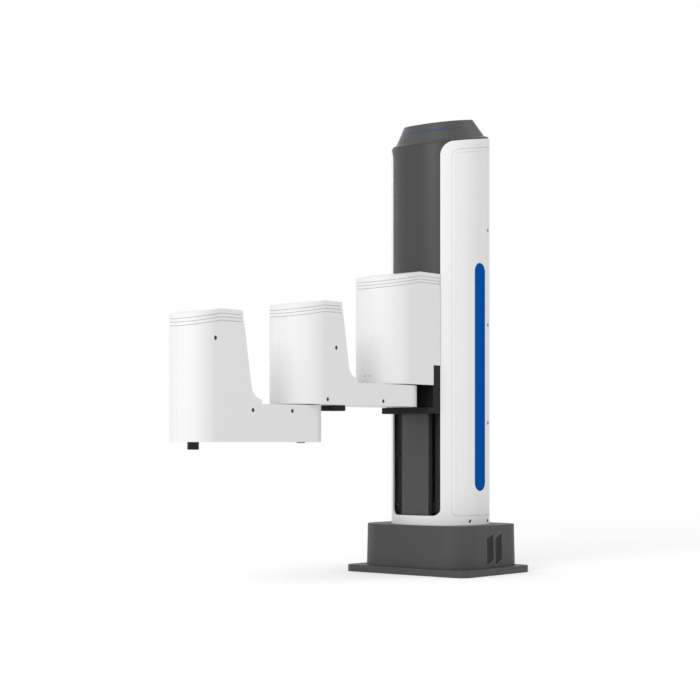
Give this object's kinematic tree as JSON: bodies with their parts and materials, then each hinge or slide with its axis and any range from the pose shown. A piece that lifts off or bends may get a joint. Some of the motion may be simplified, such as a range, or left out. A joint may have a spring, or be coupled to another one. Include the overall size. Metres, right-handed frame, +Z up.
{
  "type": "scara robot",
  "caption": "Desktop SCARA robot: dark base, tall white column with a lifting carriage, two folding arms in rounded covers and a tool spindle.",
  "frame": {"origin": "centre of the base plate's underside, which is the centre of its four bolt holes", "axes": "+X the way the straight arm points at rest, +Y to the robot's left, +Z up"},
  "size_m": [0.6408, 0.23, 0.695],
  "materials": {
    "base_paint": "fine textured powder coat",
    "white_cover": "smooth satin",
    "dark_cover": "satin",
    "stripe_blue": "satin",
    "light_blue": "translucent light strip",
    "black_bracket": "black anodised",
    "bare_aluminium": "machined",
    "bright_steel": "ground",
    "motor_black": "black anodised",
    "spindle_black": "black oxide",
    "screw_black": "black oxide",
    "belt_rubber": "moulded",
    "electronics_grey": "satin",
    "board_green": "lacquered",
    "socket_black": "moulded"
  },
  "bodies": {
    "base": {"base_plate": "base_paint", "base_housing": "base_paint", "connector_panel": "electronics_grey", "power_inlet": "socket_black", "data_ports": "socket_black", "power_supply": "electronics_grey", "controller_board": "board_green", "vent_fan": "socket_black", "column_shell": "white_cover", "column_screws": "screw_black", "side_panel_left": "white_cover", "side_panel_right": "white_cover", "side_stripe_left": "stripe_blue", "side_stripe_right": "stripe_blue", "upper_front_cover": "dark_cover", "status_light": "light_blue", "top_cap": "dark_cover", "column_spine": "black_bracket", "guide_rails": "bright_steel", "screw_bearing_lower": "bare_aluminium", "screw_bearing_upper": "bare_aluminium", "centre_strip": "dark_cover", "slot_liner_left": "dark_cover", "slot_liner_right": "dark_cover", "lift_motor": "motor_black", "lift_belt": "belt_rubber"},
    "lift_screw": {"lift_screw": "bright_steel", "screw_pulley": "bare_aluminium"},
    "motor_pulley": {"motor_pulley": "bare_aluminium"},
    "carriage": {"carriage_bracket": "black_bracket", "slide_plate": "black_bracket", "guide_blocks": "bright_steel", "lift_nut": "bare_aluminium", "carriage_cover": "white_cover", "carriage_lid": "white_cover", "shoulder_reducer": "motor_black", "shoulder_motor": "motor_black"},
    "inner_arm": {"inner_arm_frame": "bare_aluminium", "inner_arm_cover": "white_cover", "inner_arm_lid": "white_cover", "inner_arm_base_cover": "white_cover", "inner_arm_screws": "screw_black", "elbow_stop": "black_bracket", "shoulder_flange": "bright_steel", "elbow_reducer": "motor_black", "elbow_motor": "motor_black"},
    "outer_arm": {"outer_arm_frame": "bare_aluminium", "outer_arm_cover": "white_cover", "outer_arm_lid": "white_cover", "outer_arm_base_cover": "white_cover", "outer_arm_screws": "screw_black", "access_plug": "dark_cover", "elbow_flange": "bright_steel", "spindle_bearings": "bright_steel", "motor_adapter": "bare_aluminium", "spindle_motor": "motor_black"},
    "tool_spindle": {"tool_spindle": "spindle_black", "spindle_coupling": "bare_aluminium"}
  },
  "joints": [
    {"name": "lift", "type": "slide", "parent": "base", "child": "carriage", "axis": [0, 0, 1], "range_m": [-0.115, 0.125]},
    {"name": "shoulder", "type": "hinge", "parent": "carriage", "child": "inner_arm", "pos_m": [0.124, 0, 0.283], "axis": [0, 0, 1], "range_deg": [-85, 85]},
    {"name": "elbow", "type": "hinge", "parent": "inner_arm", "child": "outer_arm", "pos_m": [0.324, 0, 0.25], "axis": [0, 0, 1], "range_deg": [-120, 120]},
    {"name": "tool_spin", "type": "hinge", "parent": "outer_arm", "child": "tool_spindle", "pos_m": [0.524, 0, 0.189], "axis": [0, 0, 1], "range_deg": [-360, 360]},
    {"name": "screw_spin", "type": "hinge", "parent": "base", "child": "lift_screw", "pos_m": [0.036, 0, 0.1], "axis": [0, 0, 1], "range_deg": [-4560, 4200]},
    {"name": "motor_spin", "type": "hinge", "parent": "base", "child": "motor_pulley", "pos_m": [-0.0395, 0, 0.083], "axis": [0, 0, 1], "range_deg": [-4560, 4200]}
  ],
  "couplings": [
    {"joint": "screw_spin", "follows": "lift", "rad_per_m": -628.32},
    {"joint": "motor_spin", "follows": "lift", "rad_per_m": -628.32}
  ]
}
